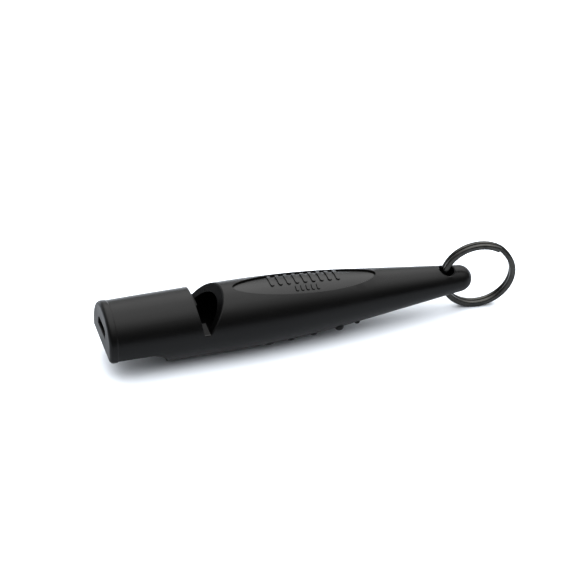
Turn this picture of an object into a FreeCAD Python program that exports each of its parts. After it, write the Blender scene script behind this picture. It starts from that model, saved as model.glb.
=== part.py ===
"""Training whistle: moulded body, fipple plug and split ring.

Millimetres. X runs from the mouth end to the tail along the barrel's axis,
+Z points up through the sound window, and the origin is where the axis
crosses the flat front face.
"""
import FreeCAD, Part
import math
import os

V = FreeCAD.Vector

# Barrel and tail
length = 81.0             # front face to tail tip
mouth_r = 7.15            # barrel radius just behind the lip
barrel_r = 7.3            # largest radius of the barrel
barrel_end_x = 27.0       # the barrel starts to narrow here
taper_arc_r = 230.0       # gentle curve from barrel into tail cone
taper_angle = 6.7         # half angle of the tail cone, degrees

# Mouthpiece
lip_r = 7.3               # bite lip round the front face
lip_length = 2.15
lip_flat_z = -2.35        # underside of the lip
lip_corner = 1.2          # rounding of its two lower corners
lip_front_round = 0.85
lip_back_round = 0.75
flat_z = -1.65            # flat underside of the mouthpiece
flat_end_x = 8.4          # a hollow heel curves down to the belly from here
heel_nose_r = 1.2         # rounded corner at the foot of the heel

# Bore: a half-round socket for the plug, then the fully round sound chamber
bore_r = 5.6
socket_floor_z = -0.4     # the socket's flat side is down
chamber_end_x = 33.0

# Sound window: a notch right across the top
notch_floor_z = 1.5
notch_front_x = 19.95     # front wall, at the floor
notch_front_lean = 0.18   # mm forward per mm up
notch_ramp_x = 21.2       # foot of the rear ramp
notch_ramp_lean = 0.733   # mm rearward per mm up
notch_round = 0.25        # rounded edges where the notch meets the outside

# Windway through the plug: flat-bottomed, round-shouldered, rising to the window
slot_half_width = 2.75
slot_floor_z = 1.35
slot_top_z = 3.45
slot_shoulder = 1.0
slot_rim_round = 0.2
exit_x = 20.4
exit_half_width = 3.0
exit_floor_z = 3.8
exit_top_z = 4.9
throat_half_width = 3.1   # gap between the two cheeks at the plug's tail
throat_x = 19.6           # the chamber begins here, between the cheeks

# Sunk label panel on top, with two rows of plain raised bars
panel_x = 43.4
panel_half_length = 15.6
panel_half_width = 3.5
panel_depth = 0.4
panel_round = 0.15
mark_height = 0.25
long_bars = (9, 1.8, 0.8, 3.8, 0.9)     # count, pitch, width, reach across, middle y
short_bars = (5, 1.15, 0.6, 1.5, -2.15)

# Raised grip pips low on one flank: place along the barrel, half width, height
pip_places = [(34.6, 1.1, 0.30), (39.5, 0.8, 0.36), (44.5, 0.75, 0.38), (50.3, 1.0, 0.75), (54.3, 0.6, 0.42)]
pip_angle = 47.0          # degrees below level

# Lanyard hole and split ring
hole_x = 75.2
hole_r = 1.65
hole_round = 0.3          # rounded mouths
ring_r = 7.6              # centreline radius
ring_offset = 7.0         # ring centre behind the hole's axis
ring_z = 0.92             # ring centre above the barrel's axis
ring_yaw = -6.5           # degrees, swung a little to one side at rest
wire_radial = 1.25
wire_axial = 0.94
wire_corner = 0.38
coil_pitch = 1.0          # distance between the two coils' centrelines
jog_angle = 40.0          # where the wire steps from one coil to the other
jog_half = 17.0           # half the length of that step, degrees


def cone_start():
    """Where the tail cone takes over from the taper arc: x and radius."""
    a = math.radians(taper_angle)
    x = barrel_end_x + taper_arc_r * math.sin(a)
    r = barrel_r - taper_arc_r * (1 - math.cos(a))
    return x, r


def surface_r(x):
    """Radius of the outer surface at x, ahead of the tail dome."""
    if x <= barrel_end_x:
        share = (barrel_end_x - x) / barrel_end_x
        return barrel_r - (barrel_r - mouth_r) * share ** 2
    cone_x, cone_r = cone_start()
    if x <= cone_x:
        return barrel_r - taper_arc_r + math.sqrt(taper_arc_r ** 2 - (x - barrel_end_x) ** 2)
    return cone_r - (x - cone_x) * math.tan(math.radians(taper_angle))


def turned_body(start_x, inset=0.0):
    """The outer form as turned, with its surface sunk by inset."""
    a = math.radians(taper_angle)
    cone_x, cone_r = cone_start()
    dome_r = (math.cos(a) * cone_r - math.sin(a) * (length - cone_x)) / (1 - math.sin(a))
    centre_x = length - dome_r
    dome_x = centre_x + dome_r * math.sin(a)
    dome_z = dome_r * math.cos(a)
    mid = math.radians((90 - taper_angle) / 2)

    def at(x, radius):
        # drawn on the underside, so that the turned surface's seam runs along the belly
        return V(x, 0, -radius)

    front = at(start_x, surface_r(start_x) - inset)
    swell = at((start_x + barrel_end_x) / 2, surface_r((start_x + barrel_end_x) / 2) - inset)
    shoulder = at(barrel_end_x, barrel_r - inset)
    curve_mid_x = (barrel_end_x + cone_x) / 2
    curve = at(curve_mid_x, surface_r(curve_mid_x) - inset)
    cone = at(cone_x, cone_r - inset)
    dome = at(dome_x, dome_z - inset)
    dome_mid = at(centre_x + (dome_r - inset) * math.cos(mid), (dome_r - inset) * math.sin(mid))
    tip = at(length - inset, 0)
    edges = [
        Part.LineSegment(at(start_x, 0), front).toShape(),
        Part.Arc(front, swell, shoulder).toShape(),
        Part.Arc(shoulder, curve, cone).toShape(),
        Part.LineSegment(cone, dome).toShape(),
        Part.Arc(dome, dome_mid, tip).toShape(),
        Part.LineSegment(tip, at(start_x, 0)).toShape(),
    ]
    outline = Part.Face(Part.Wire(edges))
    return outline.revolve(V(0, 0, 0), V(1, 0, 0), 360)


def prism_across(points):
    """A solid from an outline of straight edges in the XZ plane, right across Y."""
    corners = [V(x, -12, z) for x, z in points]
    face = Part.Face(Part.makePolygon(corners + corners[:1]))
    return face.extrude(V(0, 24, 0))


def half_round(x, radius, floor_z, length_x):
    """A bar along X with a round top about the barrel's axis and a flat floor."""
    bar = Part.makeCylinder(radius, length_x, V(x, 0, 0), V(1, 0, 0))
    below = Part.makeBox(length_x + 2, 4 * radius, 2 * radius, V(x - 1, -2 * radius, floor_z - 2 * radius))
    return bar.cut(below)


def underside_cut():
    """What is cut away under the mouthpiece: flat, hollow heel and rounded nose."""
    heel_r = barrel_r - heel_nose_r + flat_z
    heel_x = flat_end_x + heel_r
    nose_z = -barrel_r
    bottom = nose_z - 5
    half = math.sqrt(0.5)

    def at(x, z):
        return V(x, -12, z)

    run = at(flat_end_x, flat_z)
    hollow = at(flat_end_x + heel_r * half, flat_z - heel_r * (1 - half))
    foot = at(heel_x, flat_z - heel_r)
    nose = at(heel_x + heel_nose_r * (1 - half), nose_z + heel_nose_r * (1 - half))
    end = at(heel_x + heel_nose_r, nose_z)
    corners = [end, at(end.x, bottom), at(0, bottom), at(0, flat_z), run]
    edges = [
        Part.Arc(run, hollow, foot).toShape(),
        Part.Arc(foot, nose, end).toShape(),
    ]
    for a, b in zip(corners, corners[1:]):
        edges.append(Part.LineSegment(a, b).toShape())
    return Part.Face(Part.Wire(edges)).extrude(V(0, 24, 0))


def notch_cut():
    """The sound window's cutter: leaning front wall, flat floor, rear ramp."""
    top = barrel_r + 1.5
    rise = top - notch_floor_z
    return prism_across([
        (notch_front_x, notch_floor_z),
        (notch_ramp_x, notch_floor_z),
        (notch_ramp_x + notch_ramp_lean * rise, top),
        (notch_front_x - notch_front_lean * rise, top),
    ])


def bite_lip():
    """Rounded lip round the front face, standing proud under the mouthpiece."""
    disc = Part.makeCylinder(lip_r, lip_length, V(0, 0, 0), V(1, 0, 0))
    below = Part.makeBox(lip_length + 2, 30, 15, V(-1, -15, lip_flat_z - 15))
    disc = disc.cut(below)
    long_edges = [e for e in disc.Edges if e.BoundBox.XLength > lip_length / 2]
    disc = disc.makeFillet(lip_corner, long_edges)
    front = [e for e in disc.Edges if e.BoundBox.XMax < 0.1]
    disc = disc.makeFillet(lip_front_round, front)
    back = [e for e in disc.Edges if e.BoundBox.XMin > lip_length - 0.1]
    return disc.makeFillet(lip_back_round, back)


def rounded_bar(x, y, width, reach):
    """Upright prism with round ends, lying across the barrel."""
    r = width / 2
    side = max(reach - width, 0.01) / 2
    a = V(x - r, y - side, 0)
    b = V(x - r, y + side, 0)
    c = V(x + r, y + side, 0)
    d = V(x + r, y - side, 0)
    edges = [
        Part.LineSegment(a, b).toShape(),
        Part.Arc(b, V(x, y + side + r, 0), c).toShape(),
        Part.LineSegment(c, d).toShape(),
        Part.Arc(d, V(x, y - side - r, 0), a).toShape(),
    ]
    return Part.Face(Part.Wire(edges)).extrude(V(0, 0, barrel_r + 3))


def label_marks():
    """Upright prisms for the two rows of plain raised bars on the panel's floor."""
    prisms = []
    for count, pitch, width, reach, y in (long_bars, short_bars):
        for i in range(count):
            x = panel_x + (i - (count - 1) / 2) * pitch
            prisms.append(rounded_bar(x, y, width, reach))
    return prisms


def label_panel():
    """The sunk panel's cutter: an oval down to a floor that follows the surface, round the marks."""
    centre = V(panel_x, 0, 0)
    oval = Part.Ellipse(centre, panel_half_length, panel_half_width).toShape()
    prism = Part.Face(Part.Wire([oval])).extrude(V(0, 0, barrel_r + 3))
    cutter = prism.cut(turned_body(2.0, panel_depth))
    mark_tops = turned_body(2.0, panel_depth - mark_height)
    for mark in label_marks():
        cutter = cutter.cut(mark.common(mark_tops))
    return cutter


def grip_pips():
    """Balls sunk in one flank, low down, so that each shows as a dome of its own height."""
    a = math.radians(pip_angle)
    balls = []
    for x, half_width, height in pip_places:
        ball_r = (half_width ** 2 + height ** 2) / (2 * height)
        reach = surface_r(x) + height - ball_r
        balls.append(Part.makeSphere(ball_r, V(x, -reach * math.cos(a), -reach * math.sin(a))))
    return balls


def outer_edges(body, x_low, x_high):
    """Edges that lie on the outer surface between two places along the barrel."""
    found = []
    for edge in body.Edges:
        if edge.Degenerated:
            continue
        points = edge.discretize(9)
        on_surface = all(abs(math.hypot(p.y, p.z) - surface_r(p.x)) < 0.02 for p in points)
        if on_surface and all(x_low < p.x < x_high for p in points):
            found.append(edge)
    return found


def whistle_body():
    body = turned_body(lip_length / 2)
    body = body.cut(underside_cut())
    body = body.fuse(bite_lip())
    body = body.cut(half_round(-1, bore_r, socket_floor_z, throat_x + 2))
    chamber = Part.makeCylinder(bore_r, chamber_end_x - throat_x, V(throat_x, 0, 0), V(1, 0, 0))
    body = body.cut(chamber)
    body = body.cut(notch_cut()).removeSplitter()
    body = body.makeFillet(notch_round, outer_edges(body, notch_front_x - 2, notch_ramp_x + 5))
    hole = Part.makeCylinder(hole_r, 4 * barrel_r, V(hole_x, 0, -2 * barrel_r))
    body = body.cut(hole)
    body = body.makeFillet(hole_round, outer_edges(body, hole_x - 2.5, hole_x + 2.5))
    body = body.cut(label_panel()).removeSplitter()
    reach = panel_half_length + 1
    rim = [e for e in outer_edges(body, panel_x - reach, panel_x + reach) if e.BoundBox.ZMin > 0]
    body = body.makeFillet(panel_round, rim)
    for pip in grip_pips():
        body = body.fuse(pip)
    return body.removeSplitter()


def windway_outline(x):
    """Cross-section of the windway at x: flat floor, upright sides, round shoulders."""
    share = x / exit_x
    w = slot_half_width + (exit_half_width - slot_half_width) * share
    low = slot_floor_z + (exit_floor_z - slot_floor_z) * share
    top = slot_top_z + (exit_top_z - slot_top_z) * share
    c = slot_shoulder
    k = c * (1 - math.sqrt(0.5))
    edges = [
        Part.LineSegment(V(x, -w, low), V(x, w, low)).toShape(),
        Part.LineSegment(V(x, w, low), V(x, w, top - c)).toShape(),
        Part.Arc(V(x, w, top - c), V(x, w - k, top - k), V(x, w - c, top)).toShape(),
        Part.LineSegment(V(x, w - c, top), V(x, c - w, top)).toShape(),
        Part.Arc(V(x, c - w, top), V(x, k - w, top - k), V(x, -w, top - c)).toShape(),
        Part.LineSegment(V(x, -w, top - c), V(x, -w, low)).toShape(),
    ]
    return Part.Wire(edges)


def fipple_plug():
    plug = half_round(0, bore_r, socket_floor_z, notch_ramp_x)
    plug = plug.cut(Part.makeLoft([windway_outline(-0.5), windway_outline(exit_x)], True, True))
    rim = [e for e in plug.Edges if e.BoundBox.XMax < 0.01 and e.BoundBox.ZMin > slot_floor_z - 0.1
           and e.BoundBox.ZMax < slot_top_z + 0.1]
    plug = plug.makeFillet(slot_rim_round, rim)
    plug = plug.cut(notch_cut())
    throat = Part.makeBox(5, 2 * throat_half_width, 12, V(throat_x, -throat_half_width, -1))
    return plug.cut(throat)


def ring_path():
    """Centreline of the wire: nearly two turns, stepping once from coil to coil."""
    start = jog_angle + jog_half
    end = jog_angle + 720 - jog_half
    half = coil_pitch / 2

    def place(angle, y):
        a = math.radians(angle)
        return V(ring_r * math.cos(a), y, ring_r * math.sin(a))

    jog_start = jog_angle + 360 - jog_half
    jog_end = jog_angle + 360 + jog_half
    first = Part.Arc(
        place(start, -half), place((start + jog_start) / 2, -half), place(jog_start, -half)
    ).toShape()
    second = Part.Arc(
        place(jog_end, half), place((jog_end + end) / 2, half), place(end, half)
    ).toShape()
    steps = 8
    points = []
    for i in range(steps + 1):
        share = i / steps
        ease = share * share * (3 - 2 * share)
        angle = jog_start + (jog_end - jog_start) * share
        points.append(place(angle, -half + coil_pitch * ease))
    spline = Part.BSplineCurve()
    a0 = math.radians(jog_start)
    a1 = math.radians(jog_end)
    spline.interpolate(
        Points=points,
        InitialTangent=V(-math.sin(a0), 0, math.cos(a0)),
        FinalTangent=V(-math.sin(a1), 0, math.cos(a1)),
    )
    return Part.Wire([first, spline.toShape(), second])


def wire_section(angle, y):
    """Rounded oblong across the wire at one angle round the ring."""
    a = math.radians(angle)
    out = V(math.cos(a), 0, math.sin(a))
    side = V(0, 1, 0)
    centre = out * ring_r + side * y
    u = wire_radial / 2
    w = wire_axial / 2
    c = wire_corner
    k = c * (1 - math.sqrt(0.5))

    def at(du, dw):
        return centre + out * du + side * dw

    edges = []
    for su, sw in ((1, 1), (-1, 1), (-1, -1), (1, -1)):
        along_first = su * sw > 0
        a_point = at(su * u, sw * (w - c))
        b_point = at(su * (u - c), sw * w)
        m_point = at(su * (u - k), sw * (w - k))
        if not along_first:
            a_point, b_point = b_point, a_point
        edges.append((a_point, m_point, b_point))
    shapes = []
    for i, (a_point, m_point, b_point) in enumerate(edges):
        shapes.append(Part.Arc(a_point, m_point, b_point).toShape())
        shapes.append(Part.LineSegment(b_point, edges[(i + 1) % 4][0]).toShape())
    return Part.Wire(shapes)


def split_ring():
    sweep = Part.BRepOffsetAPI.MakePipeShell(ring_path())
    sweep.setBiNormalMode(V(0, 1, 0))
    sweep.add(wire_section(jog_angle + jog_half, -coil_pitch / 2))
    sweep.build()
    sweep.makeSolid()
    ring = sweep.shape()
    ring.translate(V(hole_x + ring_offset, 0, ring_z))
    ring.rotate(V(hole_x, 0, 0), V(0, 0, 1), ring_yaw)
    return ring


os.makedirs("parts", exist_ok=True)
whistle_body().exportStep("parts/whistle_body.step")
fipple_plug().exportStep("parts/fipple_plug.step")
split_ring().exportStep("parts/split_ring.step")
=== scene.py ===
import math

import bpy
from mathutils import Matrix, Vector

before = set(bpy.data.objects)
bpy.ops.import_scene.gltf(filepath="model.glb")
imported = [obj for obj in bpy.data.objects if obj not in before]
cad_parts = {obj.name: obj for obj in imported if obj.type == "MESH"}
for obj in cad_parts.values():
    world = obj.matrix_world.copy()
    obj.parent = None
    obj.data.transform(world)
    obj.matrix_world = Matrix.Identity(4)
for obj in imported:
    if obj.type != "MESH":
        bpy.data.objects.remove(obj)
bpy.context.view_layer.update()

MM = 0.001

# What the object rests on: the lowest line of the belly, and the floor just under it
REST_Z = -7.3 * MM
FLOOR_GAP = 0.02 * MM
FLOOR_SIDE = 6.0

# Places on the whistle that its materials follow
FACE_DEPTH = 0.25 * MM        # how far the dull front face reaches in
PANEL_X = 43.4 * MM
PANEL_HALF_LENGTH = 15.6 * MM
PANEL_HALF_WIDTH = 3.5 * MM
BORE_R = 5.6 * MM
BORE_END_X = 33.5 * MM        # just past the chamber's end
NOTCH_X = 23.0 * MM           # middle of the sound window
NOTCH_HALF_LENGTH = 3.8 * MM
NOTCH_R = 7.0 * MM            # the window's own faces lie within this of the barrel's axis
ACROSS_ONLY = 1000            # stretches X until it adds next to nothing to a length

# Camera: where it looks, how far off, how it is turned (degrees) and its lens (mm)
AIM = Vector((40.6, 2.1, 3.0)) * MM
DISTANCE = 521.9 * MM
AZIMUTH = -19.76
ELEVATION = 37.91
ROLL = -3.33
LENS = 156.25

# Light: one large soft overhead source, fading out towards the horizon
LIGHT_AZIMUTH = 60
LIGHT_ELEVATION = 74
LIGHT_LEVEL = 3.4
LIGHT_FADE = [(0, 1.7), (25, 1.65), (35, 1.45), (47, 0.95), (60, 0.42), (72, 0.13), (90, 0.04)]


def grey(level):
    return (level, level, level)


# ---------------------------------------------------------------- materials

class Shader:
    """A Principled material, with short calls for the nodes that feed it."""

    def __init__(self, name):
        self.material = bpy.data.materials.new(name)
        self.material.use_nodes = True
        self.tree = self.material.node_tree
        self.surface = self.tree.nodes["Principled BSDF"]
        self.place = self.tree.nodes.new("ShaderNodeTexCoord").outputs["Object"]

    def feed(self, out, socket):
        """Link a node's output to one of the surface's sockets."""
        self.tree.links.new(out, self.surface.inputs[socket])

    def fix(self, value, socket):
        """Set one of the surface's sockets to a plain value."""
        self.surface.inputs[socket].default_value = value

    def scaled(self, scale, shift=(0, 0, 0)):
        """The object's own coordinates, moved and then stretched."""
        mapping = self.tree.nodes.new("ShaderNodeMapping")
        mapping.vector_type = "TEXTURE"
        mapping.inputs["Location"].default_value = shift
        mapping.inputs["Scale"].default_value = scale
        self.tree.links.new(self.place, mapping.inputs["Vector"])
        return mapping.outputs["Vector"]

    def noise(self, scale, detail=3.0, roughness=0.5, vector=None):
        made = self.tree.nodes.new("ShaderNodeTexNoise")
        made.inputs["Scale"].default_value = scale
        made.inputs["Detail"].default_value = detail
        made.inputs["Roughness"].default_value = roughness
        self.tree.links.new(vector or self.place, made.inputs["Vector"])
        return made.outputs["Fac"]

    def spread(self, value, low, high, from_low=0.3, from_high=0.7):
        """Map a range of one value onto another, held at both ends."""
        made = self.tree.nodes.new("ShaderNodeMapRange")
        made.inputs["From Min"].default_value = from_low
        made.inputs["From Max"].default_value = from_high
        made.inputs["To Min"].default_value = low
        made.inputs["To Max"].default_value = high
        self.tree.links.new(value, made.inputs["Value"])
        return made.outputs["Result"]

    def math(self, operation, first, second):
        made = self.tree.nodes.new("ShaderNodeMath")
        made.operation = operation
        for socket, value in zip(made.inputs, (first, second)):
            if isinstance(value, (int, float)):
                socket.default_value = value
            else:
                self.tree.links.new(value, socket)
        return made.outputs["Value"]

    def ramp(self, value, stops):
        made = self.tree.nodes.new("ShaderNodeValToRGB")
        points = made.color_ramp.elements
        while len(points) < len(stops):
            points.new(0.5)
        for point, (at, colour) in zip(points, stops):
            point.position = at
            point.color = (*colour, 1.0)
        self.tree.links.new(value, made.inputs["Fac"])
        return made.outputs["Color"]

    def bump(self, height, distance, after=None):
        made = self.tree.nodes.new("ShaderNodeBump")
        made.inputs["Distance"].default_value = distance
        self.tree.links.new(height, made.inputs["Height"])
        if after:
            self.tree.links.new(after, made.inputs["Normal"])
        return made.outputs["Normal"]

    def along_x(self):
        made = self.tree.nodes.new("ShaderNodeSeparateXYZ")
        self.tree.links.new(self.place, made.inputs["Vector"])
        return made.outputs["X"]

    def length(self, vector):
        made = self.tree.nodes.new("ShaderNodeVectorMath")
        made.operation = "LENGTH"
        self.tree.links.new(vector, made.inputs[0])
        return made.outputs["Value"]


def satin_plastic(name, shade):
    """Black moulded plastic: fine grain, faint flow lines, rubbed patches, a dull face, and painted
    shade inside the bore and sound window.
    """
    s = Shader(name)
    cloud = s.noise(60, 2)
    s.feed(s.ramp(cloud, [(0.3, grey(shade * 0.75)), (0.7, grey(shade))]), "Base Color")

    on_face = s.spread(s.along_x(), 1, 0, FACE_DEPTH * 0.5, FACE_DEPTH)
    flat = s.scaled((PANEL_HALF_LENGTH, PANEL_HALF_WIDTH, 1), (PANEL_X, 0, 0))
    on_panel = s.spread(s.length(flat), 1, 0, 0.97, 1.0)

    # Mask of the bore and sound window, where lowered specular paints shade into the recesses
    from_axis = s.length(s.scaled((ACROSS_ONLY, 1, 1)))
    before_end = s.spread(s.along_x(), 1, 0, BORE_END_X, BORE_END_X * 1.01)
    in_bore = s.math("MULTIPLY", before_end, s.spread(from_axis, 1, 0, BORE_R, BORE_R * 1.02))
    from_notch = s.math("ABSOLUTE", s.math("SUBTRACT", s.along_x(), NOTCH_X), 0)
    near_notch = s.spread(from_notch, 1, 0, NOTCH_HALF_LENGTH, NOTCH_HALF_LENGTH * 1.1)
    in_notch = s.math("MULTIPLY", near_notch, s.spread(from_axis, 1, 0, NOTCH_R, NOTCH_R * 1.01))
    recess_shade = s.math("MAXIMUM", in_bore, in_notch)
    recess_shade = s.math("MULTIPLY", recess_shade, s.math("SUBTRACT", 1, on_face))

    rubbed = s.noise(260, 5, 0.6, s.scaled((3, 1, 1)))
    roughness = s.math("ADD", s.spread(rubbed, 0.27, 0.36), s.math("MULTIPLY", on_face, 0.16))
    s.feed(roughness, "Roughness")
    gloss = s.spread(on_panel, 0.14, 0.22, 0, 1)
    # Specular falls to 0.35 inside the bore and sound window: painted shade in the recesses
    s.feed(s.math("MULTIPLY", gloss, s.spread(recess_shade, 1, 0.35, 0, 1)), "Specular IOR Level")

    grain = s.bump(s.noise(5200, 2, 0.6), 0.000006)
    flow = s.noise(420, 3, 0.5, s.scaled((3, 1, 1)))
    s.feed(s.bump(flow, 0.00001, grain), "Normal")
    return s.material


def dark_plate(name):
    """Black nickel plate on drawn wire: smooth, a little cloudy, with fine handling marks."""
    s = Shader(name)
    cloud = s.noise(500, 3)
    s.feed(s.ramp(cloud, [(0.3, (0.026, 0.026, 0.025)), (0.7, (0.046, 0.045, 0.042))]), "Base Color")
    s.feed(s.spread(s.noise(1600, 4, 0.6), 0.24, 0.36), "Roughness")
    s.feed(s.bump(s.noise(2600, 3), 0.000004), "Normal")
    s.fix(1.0, "Metallic")
    return s.material


def studio_floor(name):
    """Matt paper sweep, faintly cool."""
    s = Shader(name)
    s.feed(s.ramp(s.noise(3, 1), [(0.3, (0.61, 0.64, 0.68)), (0.7, (0.63, 0.66, 0.70))]), "Base Color")
    s.fix(0.8, "Roughness")
    s.fix(0.1, "Specular IOR Level")
    return s.material


materials = {
    "whistle_body": satin_plastic("body_plastic", 0.0012),
    "fipple_plug": satin_plastic("plug_plastic", 0.0014),
    "split_ring": dark_plate("ring_plate"),
}
for node, material in materials.items():
    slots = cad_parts[node].data.materials
    for index in range(len(slots)):
        slots[index] = material


# ---------------------------------------------------------------- floor, light, camera

def floor_sheet(side, z, material):
    """One large level square."""
    mesh = bpy.data.meshes.new("floor")
    h = side / 2
    mesh.from_pydata([(-h, -h, z), (h, -h, z), (h, h, z), (-h, h, z)], [], [(0, 1, 2, 3)])
    mesh.materials.append(material)
    sheet = bpy.data.objects.new("floor", mesh)
    bpy.context.scene.collection.objects.link(sheet)
    return sheet


def direction(azimuth, elevation):
    """Unit vector from degrees round from +X and degrees up from level."""
    a = math.radians(azimuth)
    e = math.radians(elevation)
    return Vector((math.cos(a) * math.cos(e), math.sin(a) * math.cos(e), math.sin(e)))


def soft_dome(centre, stops, level):
    """Light from all round; stops give its brightness by degrees away from the centre."""
    world = bpy.data.worlds.new("studio")
    world.use_nodes = True
    tree = world.node_tree
    facing = tree.nodes.new("ShaderNodeTexCoord").outputs["Generated"]
    toward = tree.nodes.new("ShaderNodeVectorMath")
    toward.operation = "DOT_PRODUCT"
    toward.inputs[1].default_value = centre
    tree.links.new(facing, toward.inputs[0])
    angle = tree.nodes.new("ShaderNodeMath")
    angle.operation = "ARCCOSINE"
    tree.links.new(toward.outputs["Value"], angle.inputs[0])
    share = tree.nodes.new("ShaderNodeMath")
    share.operation = "DIVIDE"
    share.inputs[1].default_value = math.pi
    tree.links.new(angle.outputs["Value"], share.inputs[0])
    fade = tree.nodes.new("ShaderNodeValToRGB")
    points = fade.color_ramp.elements
    while len(points) < len(stops):
        points.new(0.5)
    brightest = stops[0][1]
    for point, (degrees, brightness) in zip(points, stops):
        point.position = degrees / 180
        point.color = (*grey(brightness / brightest), 1.0)
    tree.links.new(share.outputs["Value"], fade.inputs["Fac"])
    background = tree.nodes["Background"]
    tree.links.new(fade.outputs["Color"], background.inputs["Color"])
    background.inputs["Strength"].default_value = brightest * level
    bpy.context.scene.world = world


def photo_camera():
    """Long lens, looking down on the near flank from the mouth's side, with a slight roll."""
    data = bpy.data.cameras.new("camera")
    data.sensor_width = 36
    data.lens = LENS
    data.clip_start = 0.01
    data.clip_end = 20
    made = bpy.data.objects.new("camera", data)
    bpy.context.scene.collection.objects.link(made)
    back = direction(AZIMUTH - 90, ELEVATION)
    level_right = direction(AZIMUTH, 0)
    level_up = back.cross(level_right)
    roll = math.radians(ROLL)
    up = level_up * math.cos(roll) + level_right * math.sin(roll)
    right = up.cross(back)
    turn = Matrix((right, up, back)).transposed().to_4x4()
    made.matrix_world = Matrix.Translation(AIM + back * DISTANCE) @ turn
    return made


floor_sheet(FLOOR_SIDE, REST_Z - FLOOR_GAP, studio_floor("floor_paper"))
soft_dome(direction(LIGHT_AZIMUTH, LIGHT_ELEVATION), LIGHT_FADE, LIGHT_LEVEL)
bpy.context.scene.camera = photo_camera()
bpy.context.scene.view_settings.view_transform = "Standard"
bpy.context.scene.view_settings.gamma = 0.9
